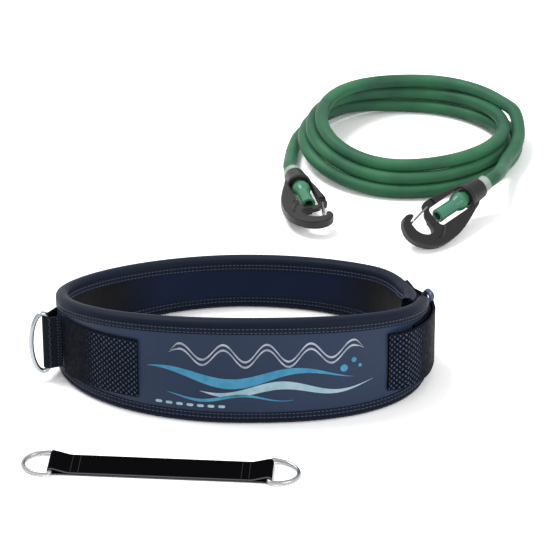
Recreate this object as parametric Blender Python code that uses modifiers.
"""A stationary swim tether: a padded waist belt, an elastic tube with two snap hooks, and an anchor strap.

The three members lie on one floor, z = 0. X runs to the right, Y to the back and Z up. The belt stands on
its lower edge as a closed hoop, the tube lies in a loose coil behind it, and the strap lies in front.
"""

import math

import bmesh
import bpy
import numpy as np
from mathutils import Matrix, Vector

MM = 0.001

# How close pieces that touch come to each other, and how far a cutter runs past what it cuts
CLEARANCE = 0.3 * MM
OVERRUN = 2.0 * MM

# Where the floor point that the members' places are measured from lies in the set's own frame
SET_PLACE = (7.049 * MM, 65.309 * MM)

# Waist belt: the hoop's plan on the floor, how square its front and back quarters are on each side, its
# lean, and the heights of its rim, which sags between front and back
BELT_CENTRE = (-29.2 * MM, -125.5 * MM)
BELT_LEFT_REACH = 151.4 * MM
BELT_RIGHT_REACH = 149.0 * MM
BELT_HALF_DEPTH = 89.8 * MM
BELT_LEFT_SQUARENESS = (2.0, 1.85)
BELT_RIGHT_SQUARENESS = (2.5, 2.05)
BELT_LEAN = math.radians(7.4)
BELT_FRONT_HEIGHT = 89.0 * MM
BELT_BACK_HEIGHT = 45.4 * MM
BELT_SAG = 3.5 * MM

# Waist belt: its path from the outer end, clockwise over the front, the left and the back, to the inner end
BELT_OUTER_END = math.radians(-10.0)
BELT_INNER_END = math.radians(-378.0)
BELT_STEPS = 75
TUCK_FROM = math.radians(-315.0)
TUCK_TO = math.radians(-348.0)

# Waist belt: the layers of its wall, from the outside in
FACE_THICKNESS = 1.2 * MM
CORE_THICKNESS = 5.0 * MM
LINING_THICKNESS = 1.2 * MM
BINDING_THICKNESS = 0.9 * MM
BINDING_COVER = 8.4 * MM
BINDING_ROUND = 1.0 * MM

# Side webbings: 50 mm tape whose middle line follows the belt's rim
WEBBING_WIDTH = 50.0 * MM
WEBBING_THICKNESS = 2.0 * MM
LEFT_LEVEL_SHARE = 0.48
RIGHT_LEVEL_SHARE = 0.50
LEFT_WEBBING_FROM = math.radians(-123.0)
LEFT_WEBBING_TO = math.radians(-160.0)

# Left ring: a steel D-ring in a folded tape that leaves the belt's side
TAPE_THICKNESS = 1.8 * MM
LEFT_TAB_WIDTH = 45.0 * MM
LEFT_TAB_FROM = math.radians(-164.0)
LEFT_TAB_TO = math.radians(-174.0)
LEFT_BAR_ANGLE = math.radians(-166.0)
LEFT_BAR_OUT = 12.0 * MM
BELT_RING_WIRE = 4.6 * MM
BELT_RING_INNER_WIDTH = 49.0 * MM
BELT_RING_DEPTH = 14.0 * MM
BELT_RING_CORNER = 4.2 * MM

# Right side: the closing webbing goes round the adjuster ring and back on itself, held by two patches
RIGHT_WEBBING_FROM = math.radians(-40.0)
RIGHT_WEBBING_LEAVES = math.radians(-10.0)
PATCH_FROM = math.radians(-18.0)
PATCH_WIDTH = 42.0 * MM
PATCH_THICKNESS = 0.6 * MM

# Right side: the adjuster ring, and the tab on the belt's inner end that holds the ring's other bar
ADJUSTER_FRONT_ANGLE = math.radians(-3.0)
ADJUSTER_FRONT_OUT = -1.6 * MM
ADJUSTER_BACK_ANGLE = math.radians(4.8)
ADJUSTER_BACK_OUT = -1.8 * MM
ADJUSTER_WIRE = 4.0 * MM
ADJUSTER_INNER_WIDTH = 53.0 * MM
ADJUSTER_CORNER = 4.0 * MM
ADJUSTER_TAB_WIDTH = 48.0 * MM
ADJUSTER_TAB_FROM = math.radians(25.0)
ADJUSTER_TAB_LEAVES = math.radians(15.0)

# Wires of rings, and tapes folded round them
WIRE_CLEARANCE = 0.4 * MM
CORNER_STEPS = 3
RING_BOW_STEPS = 8
FOLD_STEPS = 8
WIRE_RESOLUTION = 2

# Elastic tube, and the rings that the turns of its coil follow, as half width and half depth
TUBE_DIAMETER = 12.0 * MM
TUBE_BORE = 6.0 * MM
COIL_CENTRE = (121.0 * MM, 232.0 * MM)
COIL_FLOOR_RING = (101.0 * MM, 86.8 * MM)
COIL_TUCKED_RING = (89.5 * MM, 77.2 * MM)
COIL_TOP_RING = (79.0 * MM, 73.0 * MM)
COIL_LEAVING_RING = (98.0 * MM, 90.5 * MM)
COIL_TUCKED_SHIFT = 3.5 * MM
COIL_LAYER = 12.8 * MM
COIL_HUMPS = (13.2 * MM, 12.6 * MM, 11.6 * MM)
COIL_FROM_TURN = 0.06
COIL_TO_TURN = 3.42
COIL_POINTS_PER_TURN = 24
COIL_RESOLUTION = 1
LEAST_COIL_GAP = 0.4 * MM
LEAD_RESOLUTION = 2
LEAD_POINT_SPACING = 26.0 * MM
ROUTE_STEPS = 12

# The turns at which the coil changes from ring to ring, climbs a layer, and humps over its free end
COIL_TUCKS = (0.82, 1.25)
COIL_TOPS = (1.9, 2.9)
COIL_LEAVES = (3.0, 3.5)
COIL_CLIMBS = ((1.25, 1.75), (2.25, 2.75))
COIL_FIRST_HUMP = 1.02
COIL_HUMP_REACH = 0.26

# The free stretches of the tube, from each hook's sleeve towards the coil, between their straight ends
LEFT_LEAD_ROUTE = (
    (9.2 * MM, 190.0 * MM, 8.8 * MM),
    (11.8 * MM, 217.0 * MM, 6.7 * MM),
)
RIGHT_LEAD_ROUTE = (
    (199.5 * MM, 148.0 * MM, 23.5 * MM),
    (208.2 * MM, 180.0 * MM, 18.4 * MM),
    (216.2 * MM, 198.0 * MM, 19.0 * MM),
    (221.8 * MM, 219.0 * MM, 21.0 * MM),
    (221.8 * MM, 237.0 * MM, 27.5 * MM),
)

# Snap hooks: where the back of each collar lies, its heading, rise and roll about the tube
LEFT_HOOK_PLACE = (12.7 * MM, 160.5 * MM, 11.6 * MM)
LEFT_HOOK_HEADING = math.radians(-76.5)
LEFT_HOOK_RISE = math.radians(1.5)
LEFT_HOOK_ROLL = math.radians(180.0)
RIGHT_HOOK_PLACE = (178.8 * MM, 112.0 * MM, 27.9 * MM)
RIGHT_HOOK_HEADING = math.radians(-136.6)
RIGHT_HOOK_RISE = math.radians(-8.0)
RIGHT_HOOK_ROLL = math.radians(40.0)

# Snap hooks: the moulded plate, with x along the tube from the collar's back and y towards the hook's back
HOOK_LENGTH = 95.0 * MM
HOOK_BACK_OUT = 24.4 * MM
HOOK_RAIL_OUT = 16.5 * MM
HOOK_THICKNESS = 8.0 * MM
HOOK_EDGE_ROUND = 1.2 * MM
HOOK_OUTLINE_RESOLUTION = 3
HOOK_EDGE_RESOLUTION = 1
WINDOW_START = 18.6 * MM
WINDOW_END = 60.4 * MM
WINDOW_HALF_WIDTH = 9.7 * MM
WINDOW_CORNER = 4.0 * MM
COLLAR_LENGTH = 20.8 * MM
COLLAR_BACK_RADIUS = 9.2 * MM
COLLAR_FRONT_RADIUS = 11.5 * MM
COLLAR_EDGE_ROUND = 0.8 * MM
COLLAR_STEPS = 24
RELIEF_DIAMETER = 1.6 * MM

# The plate's outline and the relief line on its faces, as shares of the length and of the side's reach
PLATE_OUTLINE_SHARES = (
    (0.10, -0.42), (0.25, -0.73), (0.42, -0.89), (0.56, -1.00), (0.63, -0.98), (0.672, -0.80),
    (0.674, -0.60), (0.700, -0.44), (0.714, -0.26), (0.718, 0.00), (0.722, 0.26), (0.746, 0.39),
    (0.79, 0.40), (0.845, 0.27), (0.880, 0.05), (0.887, -0.24), (0.880, -0.52), (0.842, -0.62),
    (0.815, -0.74), (0.840, -0.90), (0.90, -0.92), (0.955, -0.68), (0.992, -0.25), (0.995, 0.08),
    (0.970, 0.36), (0.91, 0.66), (0.83, 0.88), (0.73, 0.99), (0.60, 1.01), (0.48, 0.95),
    (0.34, 0.78), (0.22, 0.60), (0.12, 0.40),
)
RELIEF_LINE_SHARES = (
    (0.545, 0.56), (0.560, 0.44), (0.590, 0.40), (0.618, 0.46), (0.650, 0.58), (0.700, 0.68), (0.748, 0.72),
)

# Wire gate: a sprung loop from the rail's end to a notch in the nose, and the recess that it turns in
GATE_WIRE = 1.7 * MM
GATE_PIVOT = (60.5 * MM, -11.6 * MM)
GATE_TIP = (83.5 * MM, -7.3 * MM)
RECESS_RADIUS = 9.0 * MM
RECESS_END = (64.3 * MM, 4.0 * MM)
RECESS_END_RADIUS = 3.1 * MM
RECESS_STEPS = 8
GATE_WEB_THICKNESS = 4.8 * MM
GATE_HOLE_CLEARANCE = 0.3 * MM
GATE_END_GAP = 1.4 * MM
GATE_CORNER = 1.6 * MM
HOLE_STEPS = 12

# What holds the tube in the collar: its end with the bead inside it, and the clear sleeve round it
SLEEVE_THICKNESS = 0.9 * MM
SLEEVE_OUTSIDE = 6.0 * MM
SLEEVE_INSIDE = 17.0 * MM
TUBE_END_REACH = 56.0 * MM
BEAD_PLACE = 28.0 * MM
BEAD_RADIUS = 5.3 * MM
BULGE_RADIUS = 8.4 * MM
BULGE_HALF_LENGTH = 6.6 * MM
BULGE_STEPS = 6
TUBE_STEPS = 20

# Anchor strap: webbing folded round a ring at each end, lying along its own X axis
STRAP_CENTRE = (-92.0 * MM, -276.3 * MM)
STRAP_HEADING = math.radians(-3.9)
STRAP_LENGTH = 174.3 * MM
STRAP_WIDTH = 24.4 * MM
STRAP_THICKNESS = 1.2 * MM
STRAP_FOLD_LENGTH = 13.0 * MM
STRAP_RING_WIRE = 3.2 * MM
STRAP_RING_INNER_WIDTH = 26.5 * MM
STRAP_RING_DEPTH = 23.0 * MM
STRAP_RING_CORNER = 3.2 * MM


def finish(name, colour, roughness, metallic=0.0):
    """A plain material of one sRGB colour."""
    def linear(value):
        share = value / 255
        return share / 12.92 if share <= 0.04045 else ((share + 0.055) / 1.055) ** 2.4

    material = bpy.data.materials.new(name)
    material.use_nodes = True
    shader = material.node_tree.nodes["Principled BSDF"]
    red, green, blue = (linear(value) for value in colour)
    shader.inputs["Base Color"].default_value = (red, green, blue, 1)
    shader.inputs["Roughness"].default_value = roughness
    shader.inputs["Metallic"].default_value = metallic
    return material


def clear_scene():
    """Empties the scene, so that the set is all it holds."""
    for thing in list(bpy.data.objects):
        bpy.data.objects.remove(thing, do_unlink=True)


def collection(name):
    """A new collection in the scene."""
    made = bpy.data.collections.new(name)
    bpy.context.scene.collection.children.link(made)
    return made


def place(name, data, material, parent=None, matrix=None):
    """Links one sub-part of the set, in its parent's frame."""
    thing = bpy.data.objects.new(name, data)
    parts.objects.link(thing)
    if hasattr(data, "materials"):
        data.materials.append(material)
    thing.parent = parent
    if matrix is not None:
        thing.matrix_local = matrix
    return thing


def stand(name, location, parent=None):
    """An empty that carries one member of the set."""
    empty = bpy.data.objects.new(name, None)
    parts.objects.link(empty)
    empty.parent = parent
    empty.location = location
    return empty


def smooth(thing, angle=math.radians(40.0)):
    """Shades round faces smooth and keeps corners sharp."""
    thing.data.shade_smooth()
    thing.data.set_sharp_from_angle(angle=angle)


def mesh_of(name, points, faces):
    """A mesh of points and faces, with its faces pointing outwards."""
    mesh = bmesh.new()
    corners = [mesh.verts.new(point) for point in points]
    for face in faces:
        mesh.faces.new([corners[i] for i in face])
    bmesh.ops.recalc_face_normals(mesh, faces=mesh.faces)
    data = bpy.data.meshes.new(name)
    mesh.to_mesh(data)
    mesh.free()
    return data


def loft(name, sections):
    """A closed solid through like rings of points, with a cap at each end."""
    count = len(sections[0])
    points = [point for ring in sections for point in ring]
    faces = [tuple(range(count)), tuple(range(len(points) - count, len(points)))]
    for start in range(0, len(points) - count, count):
        for i in range(count):
            j = (i + 1) % count
            faces.append((start + i, start + j, start + count + j, start + count + i))
    return mesh_of(name, points, faces)


def flat_curve(name, loops, half_thickness, resolution, edge_round=0.0, edge_resolution=0):
    """A plate: closed outlines in the XY plane, each marked as smooth or as straight between its points."""
    data = bpy.data.curves.new(name, "CURVE")
    data.dimensions = "2D"
    data.fill_mode = "BOTH"
    data.resolution_u = resolution
    data.extrude = half_thickness - edge_round
    data.bevel_depth = edge_round
    data.bevel_resolution = edge_resolution
    data.offset = -edge_round
    for points, curved in loops:
        spline = data.splines.new("BEZIER" if curved else "POLY")
        if curved:
            spline.bezier_points.add(len(points) - 1)
            for knot, (x, y) in zip(spline.bezier_points, points):
                knot.co = (x, y, 0)
                knot.handle_left_type = "AUTO"
                knot.handle_right_type = "AUTO"
        else:
            spline.points.add(len(points) - 1)
            for knot, (x, y) in zip(spline.points, points):
                knot.co = (x, y, 0, 1)
        spline.use_cyclic_u = True
    return data


def wire(name, points, diameter, resolution, closed=False):
    """A round wire or tube through points."""
    data = bpy.data.curves.new(name, "CURVE")
    data.dimensions = "3D"
    data.bevel_depth = diameter / 2
    data.bevel_resolution = resolution
    data.use_fill_caps = not closed
    spline = data.splines.new("POLY")
    spline.points.add(len(points) - 1)
    for knot, point in zip(spline.points, points):
        knot.co = (*point, 1)
    spline.use_cyclic_u = closed
    return data


def solid_from(curve, name):
    """The mesh of a curve, with its loose caps welded to its sides."""
    guide = bpy.data.objects.new(name, curve)
    cutters.objects.link(guide)
    bpy.context.view_layer.update()
    data = bpy.data.meshes.new_from_object(guide.evaluated_get(bpy.context.evaluated_depsgraph_get()))
    data.name = name
    bpy.data.objects.remove(guide)
    mesh = bmesh.new()
    mesh.from_mesh(data)
    bmesh.ops.remove_doubles(mesh, verts=mesh.verts, dist=CLEARANCE / 100)
    bmesh.ops.recalc_face_normals(mesh, faces=mesh.faces)
    mesh.to_mesh(data)
    mesh.free()
    return data


def profile_mesh(name, profile):
    """A closed profile of (height, radius) points at +X, joined in order down its outer side."""
    edges = [(i, (i + 1) % len(profile)) for i in range(len(profile))]
    data = bpy.data.meshes.new(name)
    data.from_pydata([(radius, 0.0, height) for height, radius in profile], edges, [])
    return data


def screw(thing, steps):
    """Turns a profile about Z into a round solid, smooth between its corners."""
    modifier = thing.modifiers.new("turned", "SCREW")
    modifier.axis = "Z"
    modifier.steps = steps
    modifier.render_steps = steps
    modifier.use_merge_vertices = True
    modifier.merge_threshold = CLEARANCE / 30
    modifier.use_smooth_shade = False


def helper(name, data, parent, matrix=None):
    """A cutter or an added form, kept out of the render."""
    thing = bpy.data.objects.new(name, data)
    cutters.objects.link(thing)
    thing.parent = parent
    if matrix is not None:
        thing.matrix_local = matrix
    thing.hide_render = True
    thing.display_type = "WIRE"
    return thing


def combine(thing, other, operation, solver="EXACT"):
    """A live Boolean between a sub-part and a helper."""
    modifier = thing.modifiers.new(other.name, "BOOLEAN")
    modifier.operation = operation
    modifier.solver = solver
    modifier.object = other


def ease(value, start, end):
    """0 before start, 1 after end, and a smooth S between them."""
    share = np.clip((np.asarray(value, float) - start) / (end - start), 0, 1)
    return share * share * (3 - 2 * share)


def arc(centre, radius, start, end, steps):
    """Points on an arc in the plane, its ends included."""
    angles = [start + (end - start) * i / steps for i in range(steps + 1)]
    return [(centre[0] + radius * math.cos(a), centre[1] + radius * math.sin(a)) for a in angles]


def rounded_box(half_length, half_width, corner, centre=(0.0, 0.0)):
    """A rectangle with round corners, anticlockwise."""
    points = []
    for quarter, (along, across) in enumerate(((1, 1), (-1, 1), (-1, -1), (1, -1))):
        middle = (centre[0] + along * (half_length - corner), centre[1] + across * (half_width - corner))
        start = quarter * math.pi / 2
        points += arc(middle, corner, start, start + math.pi / 2, CORNER_STEPS)
    return points


def tapered_slot(first, first_radius, last, last_radius, steps):
    """The outline round two unlike circles and the tangents between them, anticlockwise."""
    away = Vector(last) - Vector(first)
    heading = math.atan2(away.y, away.x)
    half = math.acos((first_radius - last_radius) / away.length)
    near = arc(first, first_radius, heading + half, heading + 2 * math.pi - half, steps)
    far = arc(last, last_radius, heading - half, heading + half, steps)
    return near + far


# Waist belt


def hoop_plan(angle):
    """A point of the belt's outer face on the floor, about the hoop's centre, and the way out of it."""
    across, deep = math.cos(angle), math.sin(angle)
    front, back = BELT_RIGHT_SQUARENESS if across > 0 else BELT_LEFT_SQUARENESS
    reach = BELT_RIGHT_REACH if across > 0 else BELT_LEFT_REACH
    power = back if deep > 0 else front
    scale = (abs(across) ** power + abs(deep) ** power) ** (-1 / power)
    x, y = scale * across, scale * deep
    slope_x = math.copysign(abs(x) ** (power - 1), x) / reach
    slope_y = math.copysign(abs(y) ** (power - 1), y) / BELT_HALF_DEPTH
    out = Vector((slope_x, slope_y)).normalized()
    return Vector((x * reach, y * BELT_HALF_DEPTH)), out


def off_hoop(angle, distance):
    """A plan point a distance outside the belt's outer face."""
    point, out = hoop_plan(angle)
    return point + out * distance


def leaned(point, height):
    """A plan point carried up the belt's leaning wall."""
    return (point[0], point[1] + height * math.tan(BELT_LEAN), height)


def rim_height(y):
    """The height of the belt's rim, which falls from the front to the back and sags in between."""
    share = min(1.0, max(0.0, (y / BELT_HALF_DEPTH + 1) / 2))
    sag = 4 * share * (1 - share) * BELT_SAG
    return BELT_FRONT_HEIGHT + (BELT_BACK_HEIGHT - BELT_FRONT_HEIGHT) * share - sag


def belt_angles(start=BELT_OUTER_END, end=BELT_INNER_END):
    """The angles of the belt's sections from one place on its path to another."""
    step = (BELT_OUTER_END - BELT_INNER_END) / BELT_STEPS
    angles = [BELT_OUTER_END - step * i for i in range(BELT_STEPS + 1)]
    return [a for a in angles if end - step / 2 < a <= start + step / 2]


def wall_thickness():
    """All layers of the belt's wall with the clearances between them."""
    return FACE_THICKNESS + CORE_THICKNESS + LINING_THICKNESS + 2 * CLEARANCE


def binding_proud():
    """How far a binding stands out from the wall."""
    return BINDING_THICKNESS + CLEARANCE


def tuck(angle):
    """How far inwards the wall's outer face runs, so that the inner end lies inside the outer end."""
    depth = wall_thickness() + 2 * binding_proud() + CLEARANCE
    return -depth * float(ease(-angle, -TUCK_FROM, -TUCK_TO))


def band(name, angles, section):
    """Lofts a belt layer; section(rim) lists (height, distance out) pairs for a rim height."""
    rings = []
    for angle in angles:
        rim = rim_height(hoop_plan(angle)[0].y)
        rings.append([leaned(off_hoop(angle, tuck(angle) + out), height) for height, out in section(rim)])
    return loft(name, rings)


def layer(outer, thickness, margin):
    """The section of a flat layer between the two bindings."""
    def section(rim):
        low, high = margin, rim - margin
        return [(low, outer), (high, outer), (high, outer - thickness), (low, outer - thickness)]
    return section


def binding(at_rim):
    """The U-shaped section of the tape that is folded over one edge of the wall."""
    def section(rim):
        outer, inner = binding_proud(), -wall_thickness() - binding_proud()
        lip_out, lip_in = CLEARANCE, -wall_thickness() - CLEARANCE
        shape = [
            (BINDING_COVER, outer),
            (BINDING_ROUND, outer),
            (0.0, outer - BINDING_ROUND),
            (0.0, inner + BINDING_ROUND),
            (BINDING_ROUND, inner),
            (BINDING_COVER, inner),
            (BINDING_COVER, lip_in),
            (BINDING_THICKNESS, lip_in),
            (BINDING_THICKNESS, lip_out),
            (BINDING_COVER, lip_out),
        ]
        return [(rim - height if at_rim else height, out) for height, out in shape]
    return section


def make_belt_wall(belt):
    """The face cloth, the foam core, the lining and the two edge bindings."""
    margin = binding_proud()
    path = belt_angles()
    core_out = -FACE_THICKNESS - CLEARANCE
    lining_out = core_out - CORE_THICKNESS - CLEARANCE
    layers = (
        ("belt_face", layer(0.0, FACE_THICKNESS, margin), navy_face),
        ("belt_core", layer(core_out, CORE_THICKNESS, margin), foam),
        ("belt_lining", layer(lining_out, LINING_THICKNESS, margin), dark_lining),
        ("top_binding", binding(True), navy_tape),
        ("bottom_binding", binding(False), navy_tape),
    )
    for name, section, material in layers:
        place(name, band(name, path, section), material, belt)


def tape(name, path, thickness, edges, lift):
    """Lofts a tape along a plan path; edges(point) gives its low and high edge, and lift places a point."""
    rings = []
    for i, point in enumerate(path):
        before, after = path[max(i - 1, 0)], path[min(i + 1, len(path) - 1)]
        along = (Vector(after) - Vector(before)).normalized()
        side = Vector((-along.y, along.x)) * thickness / 2
        low, high = edges(point)
        left, right = Vector(point) + side, Vector(point) - side
        rings.append([lift(left, low), lift(left, high), lift(right, high), lift(right, low)])
    return loft(name, rings)


def tape_edges(width, level_share):
    """The low and high edge of a tape whose middle lies at a share of the rim's height."""
    def edges(point):
        middle = level_share * rim_height(point[1])
        return middle - width / 2, middle + width / 2
    return edges


def round_bar(bar, radius, came_from, goes_to, turn):
    """The arc of a tape round a bar, between the tangents from and to two points; turn is 1 or -1."""
    def tangent(point, sign):
        away = Vector(point) - bar
        half = math.acos(min(1.0, radius / away.length))
        return math.atan2(away.y, away.x) + sign * half
    start = tangent(came_from, turn)
    end = tangent(goes_to, -turn)
    while (end - start) * turn < 0:
        end += turn * 2 * math.pi
    return [Vector(point) for point in arc(bar, radius, start, end, FOLD_STEPS)]


def d_ring(width, depth, corner):
    """The middle line of a D-ring: a straight bar on X = 0, two round corners and a bow that reaches depth."""
    half = width / 2
    points = arc((corner, corner - half), corner, math.pi, 1.5 * math.pi, CORNER_STEPS)
    for i in range(1, RING_BOW_STEPS):
        angle = -math.pi / 2 + math.pi * i / RING_BOW_STEPS
        points.append((corner + (depth - corner) * math.cos(angle), half * math.sin(angle)))
    points += arc((corner, half - corner), corner, math.pi / 2, math.pi, CORNER_STEPS)
    return [(x, 0.0, z) for x, z in points]


def lean_frame(point, level, heading):
    """A frame on the belt's leaning wall: Z up the wall, X along a plan heading, at a height."""
    up = Vector(leaned((0.0, 0.0), level)).normalized()
    along = Vector((math.cos(heading), math.sin(heading), 0.0))
    across = up.cross(along).normalized()
    along = across.cross(up)
    matrix = Matrix((along, across, up)).transposed().to_4x4()
    matrix.translation = leaned(point, level)
    return matrix


def make_left_side(belt):
    """The left webbing, the folded tab and its D-ring."""
    on_face = CLEARANCE + WEBBING_THICKNESS / 2
    path = [off_hoop(a, on_face) for a in belt_angles(LEFT_WEBBING_FROM, LEFT_WEBBING_TO)]
    edges = tape_edges(WEBBING_WIDTH, LEFT_LEVEL_SHARE)
    data = tape("left_side_webbing", path, WEBBING_THICKNESS, edges, leaned)
    place("left_side_webbing", data, black_webbing, belt)

    bar = off_hoop(LEFT_BAR_ANGLE, LEFT_BAR_OUT)
    radius = BELT_RING_WIRE / 2 + WIRE_CLEARANCE + TAPE_THICKNESS / 2
    on_face = CLEARANCE + TAPE_THICKNESS / 2
    root, back = off_hoop(LEFT_TAB_FROM, on_face), off_hoop(LEFT_TAB_TO, on_face)
    path = [root] + round_bar(bar, radius, root, back, -1) + [back]
    edges = tape_edges(LEFT_TAB_WIDTH, LEFT_LEVEL_SHARE)
    place("left_ring_tab", tape("left_ring_tab", path, TAPE_THICKNESS, edges, leaned), black_tape, belt)

    heading = hoop_plan(LEFT_BAR_ANGLE)[1]
    width = BELT_RING_INNER_WIDTH + BELT_RING_WIRE
    ring = solid_from(
        wire("left_belt_ring", d_ring(width, BELT_RING_DEPTH, BELT_RING_CORNER), BELT_RING_WIRE,
             WIRE_RESOLUTION, closed=True),
        "left_belt_ring",
    )
    level = LEFT_LEVEL_SHARE * rim_height(bar.y)
    matrix = lean_frame(bar, level, math.atan2(heading.y, heading.x))
    smooth(place("left_belt_ring", ring, steel, belt, matrix))


def make_right_side(belt):
    """The closing webbing round the adjuster ring's front bar, its patches, the ring, and its back tab."""
    front = off_hoop(ADJUSTER_FRONT_ANGLE, ADJUSTER_FRONT_OUT)
    back = off_hoop(ADJUSTER_BACK_ANGLE, ADJUSTER_BACK_OUT)
    radius = ADJUSTER_WIRE / 2 + WIRE_CLEARANCE + WEBBING_THICKNESS / 2
    on_face = CLEARANCE + WEBBING_THICKNESS / 2
    loop_out = on_face + WEBBING_THICKNESS / 2 + CLEARANCE + PATCH_THICKNESS / 2
    hook_out = loop_out + PATCH_THICKNESS + CLEARANCE
    over = hook_out + PATCH_THICKNESS / 2 + CLEARANCE + WEBBING_THICKNESS / 2
    angles = belt_angles(RIGHT_WEBBING_LEAVES, RIGHT_WEBBING_FROM)
    sewn = [off_hoop(a, on_face) for a in reversed(angles)]
    folded = [off_hoop(a, over) for a in angles]
    path = sewn + round_bar(front, radius, sewn[-1], folded[0], -1) + folded
    edges = tape_edges(WEBBING_WIDTH, RIGHT_LEVEL_SHARE)
    data = tape("right_side_webbing", path, WEBBING_THICKNESS, edges, leaned)
    place("right_side_webbing", data, black_webbing, belt)
    edges = tape_edges(PATCH_WIDTH, RIGHT_LEVEL_SHARE)
    for name, out in (("loop_patch", loop_out), ("hook_patch", hook_out)):
        path = [off_hoop(a, out) for a in belt_angles(PATCH_FROM, RIGHT_WEBBING_FROM)]
        place(name, tape(name, path, PATCH_THICKNESS, edges, leaned), black_tape, belt)

    radius = ADJUSTER_WIRE / 2 + WIRE_CLEARANCE + TAPE_THICKNESS / 2
    on_binding = binding_proud() + CLEARANCE + TAPE_THICKNESS / 2
    over = on_binding + TAPE_THICKNESS + CLEARANCE
    around = 2 * math.pi
    angles = belt_angles(ADJUSTER_TAB_FROM - around, ADJUSTER_TAB_LEAVES - around)
    lower = [off_hoop(a, tuck(a) + on_binding) for a in angles]
    upper = [off_hoop(a, tuck(a) + over) for a in angles]
    path = lower + round_bar(back, radius, lower[-1], upper[-1], 1) + upper[::-1]
    edges = tape_edges(ADJUSTER_TAB_WIDTH, RIGHT_LEVEL_SHARE)
    place("adjuster_tab", tape("adjuster_tab", path, TAPE_THICKNESS, edges, leaned), black_tape, belt)

    along = back - front
    half_spacing, half_width = along.length / 2, (ADJUSTER_INNER_WIDTH + ADJUSTER_WIRE) / 2
    outline = rounded_box(half_spacing, half_width, ADJUSTER_CORNER)
    ring = wire("adjuster_ring", [(x, 0.0, z) for x, z in outline], ADJUSTER_WIRE, WIRE_RESOLUTION, closed=True)
    middle = (front + back) / 2
    level = RIGHT_LEVEL_SHARE * rim_height(middle.y)
    matrix = lean_frame(middle, level, math.atan2(along.y, along.x))
    smooth(place("adjuster_ring", solid_from(ring, "adjuster_ring"), grey_steel, belt, matrix))


# Elastic tube


def coil_point(turns):
    """The middle line of the coil after a number of turns, clockwise from the left, in metres.

    The first turn lies on the floor. The second crosses over the free end on the left, tucks inside the
    first and climbs a layer on the right, the third does the same on top, and the last runs out again.
    """
    turns = np.asarray(turns, float)
    tucked = ease(turns, *COIL_TUCKS)
    topped = ease(turns, *COIL_TOPS)
    leaving = ease(turns, *COIL_LEAVES)
    floor_ring, tucked_ring = np.array(COIL_FLOOR_RING), np.array(COIL_TUCKED_RING)
    top_ring, leaving_ring = np.array(COIL_TOP_RING), np.array(COIL_LEAVING_RING)
    half = (floor_ring + np.multiply.outer(tucked, tucked_ring - floor_ring)
            + np.multiply.outer(topped, top_ring - tucked_ring)
            + np.multiply.outer(leaving, leaving_ring - top_ring))
    angle = math.pi * (1 - 2 * turns)
    x = COIL_CENTRE[0] + half[..., 0] * np.cos(angle)
    y = COIL_CENTRE[1] - COIL_TUCKED_SHIFT * tucked + half[..., 1] * np.sin(angle)
    layers = ease(turns, *COIL_CLIMBS[0]) + ease(turns, *COIL_CLIMBS[1])
    z = TUBE_DIAMETER / 2 + CLEARANCE + COIL_LAYER * layers
    for crossing, height in enumerate(COIL_HUMPS):
        beside = np.abs(turns - COIL_FIRST_HUMP - crossing) / COIL_HUMP_REACH
        z = z + height * np.cos(math.pi / 2 * np.minimum(beside, 1)) ** 2
    return np.stack([x, y, z], axis=-1)


def coil_line():
    """The points of the coil, with a straight run of one diameter at each end."""
    count = round((COIL_TO_TURN - COIL_FROM_TURN) * COIL_POINTS_PER_TURN)
    line = coil_point(np.linspace(COIL_FROM_TURN, COIL_TO_TURN, count + 1))
    first = (line[0] - line[1]) / np.linalg.norm(line[0] - line[1])
    last = (line[-1] - line[-2]) / np.linalg.norm(line[-1] - line[-2])
    return np.concatenate([[line[0] + first * TUBE_DIAMETER], line, [line[-1] + last * TUBE_DIAMETER]])


def least_gap(line, diameter):
    """The least gap between the surfaces of turns of a line, measured on points all along it."""
    lengths = np.concatenate([[0], np.cumsum(np.linalg.norm(np.diff(line, axis=0), axis=1))])
    at = np.arange(0, lengths[-1], diameter / 4)
    fine = np.stack([np.interp(at, lengths, line[:, k]) for k in range(3)], axis=1)
    apart = np.linalg.norm(fine[:, None] - fine[None], axis=2)
    apart[np.abs(at[:, None] - at[None]) < 3 * diameter] = np.inf
    return apart.min() - diameter


def curve_through(points, spacing):
    """Even points on a smooth curve through a route's own points."""
    route = np.array([points[0], *points, points[-1]], float)
    route[0], route[-1] = 2 * route[1] - route[2], 2 * route[-2] - route[-3]
    fine = []
    for before, start, end, after in zip(route, route[1:], route[2:], route[3:]):
        for t in np.linspace(0, 1, ROUTE_STEPS, endpoint=False):
            fine.append(0.5 * (2 * start + (end - before) * t + (2 * before - 5 * start + 4 * end - after) * t ** 2
                               + (3 * start - before - 3 * end + after) * t ** 3))
    fine = np.array([*fine, route[-2]])
    lengths = np.concatenate([[0], np.cumsum(np.linalg.norm(np.diff(fine, axis=0), axis=1))])
    at = np.linspace(0, lengths[-1], max(2, round(lengths[-1] / spacing)) + 1)
    return np.stack([np.interp(at, lengths, fine[:, k]) for k in range(3)], axis=1)


def lead_line(sleeve_end, hook_along, route, coil_end, coil_along):
    """A free stretch from a hook's sleeve to one end of the coil, straight for a diameter at both ends."""
    start = Vector(sleeve_end) - hook_along * CLEARANCE
    end = Vector(coil_end) + coil_along * CLEARANCE
    inside = [start - hook_along * TUBE_DIAMETER, *map(Vector, route), end + coil_along * TUBE_DIAMETER]
    return [start, *(Vector(point) for point in curve_through(inside, LEAD_POINT_SPACING)), end]


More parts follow.
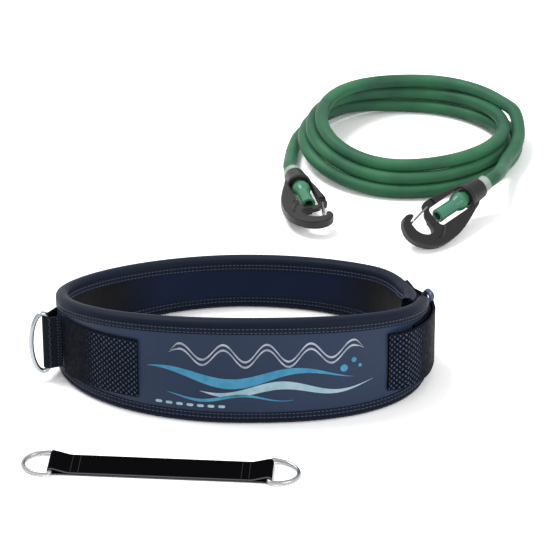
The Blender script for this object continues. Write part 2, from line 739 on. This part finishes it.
def make_tube(tether, hooks):
    """The coil and the two free stretches of the elastic tube."""
    line = coil_line()
    gap = least_gap(line, TUBE_DIAMETER)
    print(f"least gap between the coil's turns: {gap / MM:.2f} mm")
    if gap < LEAST_COIL_GAP:
        raise ValueError("the coil's turns touch")
    coil = solid_from(wire("tube_coil", line, TUBE_DIAMETER, COIL_RESOLUTION), "tube_coil")
    smooth(place("tube_coil", coil, green_latex, tether))
    ends = (
        ("tube_lead_left", hooks[0], LEFT_LEAD_ROUTE, line[0], line[0] - line[1]),
        ("tube_lead_right", hooks[1], RIGHT_LEAD_ROUTE, line[-1], line[-1] - line[-2]),
    )
    for name, frame, route, end, along in ends:
        hook_along = frame.to_3x3() @ Vector((1, 0, 0))
        sleeve_end = frame @ Vector((-SLEEVE_OUTSIDE, 0, 0))
        points = lead_line(sleeve_end, hook_along, route, end, Vector(along).normalized())
        lead = solid_from(wire(name, points, TUBE_DIAMETER, LEAD_RESOLUTION), name)
        smooth(place(name, lead, green_latex, tether))


# Snap hooks


def hook_frame(location, heading, rise, roll):
    """The frame of a hook: X along the tube towards the nose, Y towards the hook's back."""
    turn = Matrix.Rotation(heading, 4, "Z") @ Matrix.Rotation(-rise, 4, "Y") @ Matrix.Rotation(-roll, 4, "X")
    return Matrix.Translation(location) @ turn


def hook_points(shares):
    """Outline points from shares of the hook's length and of its reach on the back or rail side."""
    return [(x * HOOK_LENGTH, y * (HOOK_BACK_OUT if y > 0 else HOOK_RAIL_OUT)) for x, y in shares]


def cut_gate_seat(side, body, carrier):
    """Recesses both faces for the gate's arms, and cuts its pivot hole and its notch in the nose."""
    face = HOOK_THICKNESS / 2
    slot = tapered_slot(GATE_PIVOT, RECESS_RADIUS, RECESS_END, RECESS_END_RADIUS, RECESS_STEPS)
    depth = face - GATE_WEB_THICKNESS / 2 + OVERRUN
    recess = solid_from(flat_curve("recess", ((slot, False),), depth / 2, 1), "recess")
    for sign, label in ((1, "upper"), (-1, "lower")):
        place_at = Matrix.Translation((0, 0, sign * (GATE_WEB_THICKNESS + depth) / 2))
        combine(body, helper(f"{side}_{label}_recess", recess, carrier, place_at), "DIFFERENCE")
        line = [(x, y, sign * face) for x, y in hook_points(RELIEF_LINE_SHARES)]
        groove = solid_from(wire("relief", line, RELIEF_DIAMETER, 1), "relief")
        combine(body, helper(f"{side}_{label}_relief", groove, carrier), "DIFFERENCE")
    hole_radius = GATE_WIRE / 2 + GATE_HOLE_CLEARANCE
    for label, point in (("gate_hole", GATE_PIVOT), ("nose_notch", GATE_TIP)):
        hole = rod(hole_radius, HOOK_THICKNESS + OVERRUN, HOLE_STEPS)
        combine(body, helper(f"{side}_{label}", hole, carrier, Matrix.Translation((*point, 0))), "DIFFERENCE")


def make_hook_body(side, carrier):
    """The moulded hook: a rounded plate joined to its collar, bored, grooved and recessed for the gate."""
    window_middle = (WINDOW_START + WINDOW_END) / 2
    window = rounded_box(WINDOW_END - window_middle, WINDOW_HALF_WIDTH, WINDOW_CORNER, (window_middle, 0.0))
    loops = ((hook_points(PLATE_OUTLINE_SHARES), True), (window, False))
    plate = flat_curve("plate", loops, HOOK_THICKNESS / 2, HOOK_OUTLINE_RESOLUTION,
                       HOOK_EDGE_ROUND, HOOK_EDGE_RESOLUTION)
    name = f"{side}_hook_body"
    body = place(name, solid_from(plate, name), black_nylon, carrier)
    cut_gate_seat(side, body, carrier)

    edge, inside = COLLAR_EDGE_ROUND, collar_bore_radius() - OVERRUN
    profile = (
        (COLLAR_LENGTH, inside),
        (COLLAR_LENGTH, COLLAR_FRONT_RADIUS - edge),
        (COLLAR_LENGTH - edge, COLLAR_FRONT_RADIUS),
        (COLLAR_LENGTH / 2, (COLLAR_BACK_RADIUS + COLLAR_FRONT_RADIUS) / 2),
        (edge, COLLAR_BACK_RADIUS),
        (0.0, COLLAR_BACK_RADIUS - edge),
        (0.0, inside),
    )
    collar = helper(f"{side}_collar", profile_mesh("collar", profile), carrier, ALONG_TUBE)
    screw(collar, COLLAR_STEPS)
    # The exact solver leaves the collar out of this union
    combine(body, collar, "UNION", "MANIFOLD")
    bore = rod(collar_bore_radius(), COLLAR_LENGTH + 2 * OVERRUN, COLLAR_STEPS)
    middle = Matrix.Translation((COLLAR_LENGTH / 2, 0, 0)) @ ALONG_TUBE
    combine(body, helper(f"{side}_collar_bore", bore, carrier, middle), "DIFFERENCE")
    smooth(body)


def rod(radius, length, steps):
    """A cylinder along its own Z axis, with a flat side and not a corner on its X axis."""
    mesh = bmesh.new()
    turn = Matrix.Rotation(math.pi / steps, 4, "Z")
    bmesh.ops.create_cone(mesh, cap_ends=True, segments=steps, radius1=radius, radius2=radius, depth=length,
                          matrix=turn)
    data = bpy.data.meshes.new("rod")
    mesh.to_mesh(data)
    mesh.free()
    return data


def collar_bore_radius():
    """The collar's bore, which turns freely round the clear sleeve."""
    return TUBE_DIAMETER / 2 + SLEEVE_THICKNESS + 2 * CLEARANCE


def make_gate(side, carrier):
    """The sprung wire loop that closes the hook's mouth, with its origin on the pivot."""
    reach = Vector((*GATE_TIP, 0)) - Vector((*GATE_PIVOT, 0))
    along = reach.normalized()
    half = GATE_WEB_THICKNESS / 2 + CLEARANCE + GATE_WIRE / 2
    upper = [Vector((0, 0, GATE_END_GAP / 2))]
    for u, w in arc((GATE_CORNER, half - GATE_CORNER), GATE_CORNER, math.pi, math.pi / 2, CORNER_STEPS):
        upper.append(along * u + Vector((0, 0, w)))
    for u, w in arc((0.0, 0.0), half, math.pi / 2, 0.0, CORNER_STEPS):
        upper.append(reach + along * (u - half) + Vector((0, 0, w)))
    points = upper + [Vector((p.x, p.y, -p.z)) for p in reversed(upper[:-1])]
    gate = solid_from(wire(f"{side}_gate_wire", points, GATE_WIRE, WIRE_RESOLUTION), f"{side}_gate_wire")
    smooth(place(f"{side}_gate_wire", gate, steel, carrier, Matrix.Translation((*GATE_PIVOT, 0))))


def make_tube_end(side, carrier):
    """The tube's end with its bulge over the bead, the bead, and the clear sleeve in the collar."""
    tube_radius, bore_radius, inside = TUBE_DIAMETER / 2, TUBE_BORE / 2, BEAD_RADIUS + CLEARANCE
    reach = math.sqrt(inside ** 2 - bore_radius ** 2)
    bulge, cavity = [], []
    for i in range(BULGE_STEPS + 1):
        turn = math.pi * i / BULGE_STEPS
        swell = (BULGE_RADIUS - tube_radius) * math.sin(turn)
        bulge.append((BEAD_PLACE + BULGE_HALF_LENGTH * math.cos(turn), tube_radius + swell))
        along = -reach * math.cos(turn)
        cavity.append((BEAD_PLACE + along, math.sqrt(inside ** 2 - along ** 2)))
    profile = [(TUBE_END_REACH, bore_radius), (TUBE_END_REACH, tube_radius), *bulge]
    profile += [(-SLEEVE_OUTSIDE, tube_radius), (-SLEEVE_OUTSIDE, bore_radius), *cavity]
    tube_end = place(f"{side}_tube_end", profile_mesh("tube_end", profile), green_latex, carrier, ALONG_TUBE)
    screw(tube_end, TUBE_STEPS)

    inner = tube_radius + CLEARANCE
    outer = inner + SLEEVE_THICKNESS
    profile = ((SLEEVE_INSIDE, inner), (SLEEVE_INSIDE, outer), (-SLEEVE_OUTSIDE, outer), (-SLEEVE_OUTSIDE, inner))
    data = profile_mesh("clear_sleeve", profile)
    screw(place(f"{side}_clear_sleeve", data, clear_plastic, carrier, ALONG_TUBE), COLLAR_STEPS)

    mesh = bmesh.new()
    bmesh.ops.create_uvsphere(mesh, u_segments=14, v_segments=8, radius=BEAD_RADIUS)
    data = bpy.data.meshes.new("bead")
    mesh.to_mesh(data)
    mesh.free()
    smooth(place(f"{side}_bead", data, white_plastic, carrier, Matrix.Translation((BEAD_PLACE, 0, 0))))


def make_hook(side, frame, tether):
    """One snap hook with what it holds of the tube."""
    carrier = stand(f"{side}_hook", (0, 0, 0), tether)
    carrier.matrix_local = frame
    make_hook_body(side, carrier)
    make_gate(side, carrier)
    make_tube_end(side, carrier)


# Anchor strap


def make_strap(strap):
    """Webbing folded into two layers with a ring in the fold at each end."""
    radius = STRAP_RING_WIRE / 2 + WIRE_CLEARANCE + STRAP_THICKNESS / 2
    bar_height = radius + STRAP_THICKNESS / 2
    bar_place = STRAP_LENGTH / 2 - bar_height
    low, high = STRAP_THICKNESS / 2, 1.5 * STRAP_THICKNESS + CLEARANCE
    fold_end = bar_place - STRAP_FOLD_LENGTH
    right = Vector((bar_place, bar_height))
    half = [Vector((CLEARANCE / 2, low)), Vector((fold_end, low))]
    half += [Vector(p) for p in arc(right, radius, -math.pi / 2, math.pi / 2, FOLD_STEPS)]
    half += [Vector((fold_end, high))]
    path = half + [Vector((-p.x, p.y)) for p in reversed(half)]
    data = tape("anchor_webbing", path, STRAP_THICKNESS, lambda point: (-STRAP_WIDTH / 2, STRAP_WIDTH / 2),
                lambda point, across: (point[0], -across, point[1]))
    place("anchor_webbing", data, black_webbing, strap)

    width = STRAP_RING_INNER_WIDTH + STRAP_RING_WIRE
    droop = math.asin((bar_height - STRAP_RING_WIRE / 2) / STRAP_RING_DEPTH)
    for side, sign in (("left", -1), ("right", 1)):
        name = f"strap_ring_{side}"
        line = d_ring(width, STRAP_RING_DEPTH, STRAP_RING_CORNER)
        ring = solid_from(wire(name, line, STRAP_RING_WIRE, WIRE_RESOLUTION, closed=True), name)
        turn = Matrix.Rotation(0 if sign > 0 else math.pi, 4, "Z") @ Matrix.Rotation(droop, 4, "Y")
        flat = Matrix.Rotation(math.pi / 2, 4, "X")
        matrix = Matrix.Translation((sign * bar_place, 0, bar_height)) @ turn @ flat
        smooth(place(name, ring, steel, strap, matrix))


# Turns a shape's own Z axis onto a hook's X axis, the tube's
ALONG_TUBE = Matrix.Rotation(math.pi / 2, 4, "Y")

clear_scene()
parts = collection("swim_tether")
cutters = collection("cutters")

navy_face = finish("navy_face", (24, 36, 66), 0.55)
foam = finish("foam", (30, 32, 38), 0.9)
dark_lining = finish("dark_lining", (22, 26, 42), 0.85)
navy_tape = finish("navy_tape", (26, 34, 58), 0.75)
black_webbing = finish("black_webbing", (24, 25, 28), 0.85)
black_tape = finish("black_tape", (22, 24, 30), 0.8)
steel = finish("steel", (190, 192, 196), 0.25, 1.0)
grey_steel = finish("grey_steel", (120, 130, 145), 0.3, 1.0)
green_latex = finish("green_latex", (38, 112, 72), 0.45)
black_nylon = finish("black_nylon", (52, 50, 50), 0.6)
clear_plastic = finish("clear_plastic", (190, 215, 200), 0.2)
white_plastic = finish("white_plastic", (225, 225, 220), 0.4)

tether_set = stand("tether_set", (*SET_PLACE, 0.0))
waist_belt = stand("waist_belt", (*BELT_CENTRE, 0.0), tether_set)
make_belt_wall(waist_belt)
make_left_side(waist_belt)
make_right_side(waist_belt)

elastic_tether = stand("elastic_tether", (0.0, 0.0, 0.0), tether_set)
left_frame = hook_frame(LEFT_HOOK_PLACE, LEFT_HOOK_HEADING, LEFT_HOOK_RISE, LEFT_HOOK_ROLL)
right_frame = hook_frame(RIGHT_HOOK_PLACE, RIGHT_HOOK_HEADING, RIGHT_HOOK_RISE, RIGHT_HOOK_ROLL)
make_hook("left", left_frame, elastic_tether)
make_hook("right", right_frame, elastic_tether)
make_tube(elastic_tether, (left_frame, right_frame))

anchor_strap = stand("anchor_strap", (*STRAP_CENTRE, 0.0), tether_set)
anchor_strap.rotation_euler = (0.0, 0.0, STRAP_HEADING)
make_strap(anchor_strap)
